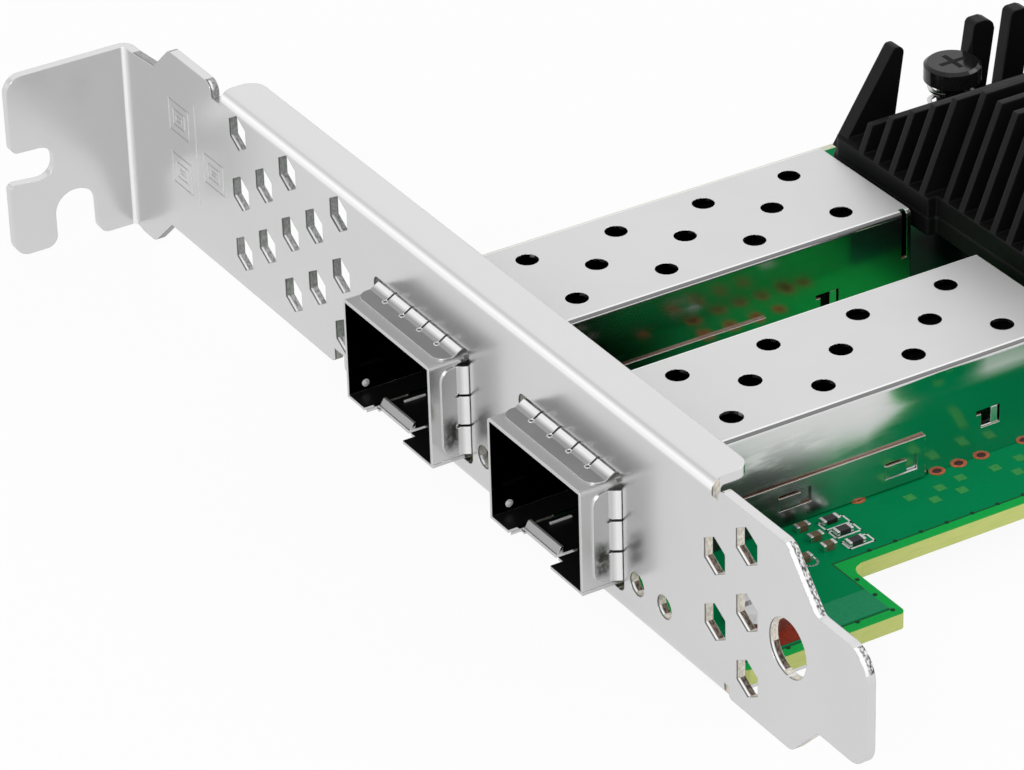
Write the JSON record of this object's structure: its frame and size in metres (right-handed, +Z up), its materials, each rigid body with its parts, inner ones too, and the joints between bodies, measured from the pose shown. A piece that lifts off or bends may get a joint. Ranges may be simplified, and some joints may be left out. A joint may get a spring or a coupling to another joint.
{
  "type": "network interface card",
  "caption": "Low-profile network interface card with caged transceiver ports, a full-height bracket and a black finned heatsink.",
  "frame": {"origin": "the standard card datum: outer face of the screw tab (X), front face of the bracket (Y) and component face of the board (Z)", "axes": "+X along the bracket from the screw tab to its foot, towards the edge connector; +Y from the bracket to the far end of the board; +Z up, off the component face"},
  "size_m": [0.1187, 0.1815, 0.0253],
  "materials": {
    "plated_steel": "bright nickel-plated sheet",
    "screw_steel": "bright",
    "board_green": "satin solder mask",
    "gold": "gold flash",
    "black_aluminium": "black anodised",
    "black_plastic": "glossy black",
    "substrate_green": "matt",
    "lid_metal": "satin nickel",
    "pad_grey": "matt",
    "resistor_body": "ceramic chip with tinned ends",
    "capacitor_body": "ceramic chip with tinned ends",
    "lamp_plastic": "clear moulded",
    "ferrite": "matt grey ferrite",
    "chip_black": "matt moulding",
    "can_aluminium": "bright can",
    "crystal_can": "satin can",
    "cage_steel": "bright plated sheet",
    "spring_steel": "satin plated spring sheet",
    "connector_plastic": "black moulding"
  },
  "bodies": {
    "root": {"bracket": "plated_steel", "bracket_screws": "screw_steel", "circuit_board": "board_green", "edge_contacts": "gold", "heatsink": "black_aluminium", "push_pins": "black_plastic", "push_pin_springs": "screw_steel", "controller_substrate": "substrate_green", "controller_lid": "lid_metal", "thermal_pad": "pad_grey", "resistors": "resistor_body", "ceramic_capacitors": "capacitor_body", "status_lamps": "lamp_plastic", "inductors": "ferrite", "voltage_regulators": "chip_black", "polymer_capacitors": "can_aluminium", "flash_chip": "chip_black", "crystal": "crystal_can", "port_1_cage_cover": "cage_steel", "port_1_cage_floor": "cage_steel", "port_1_spring_fingers": "spring_steel", "port_1_connector": "connector_plastic", "port_1_contacts": "gold", "port_2_cage_cover": "cage_steel", "port_2_cage_floor": "cage_steel", "port_2_spring_fingers": "spring_steel", "port_2_connector": "connector_plastic", "port_2_contacts": "gold"}
  },
  "joints": []
}
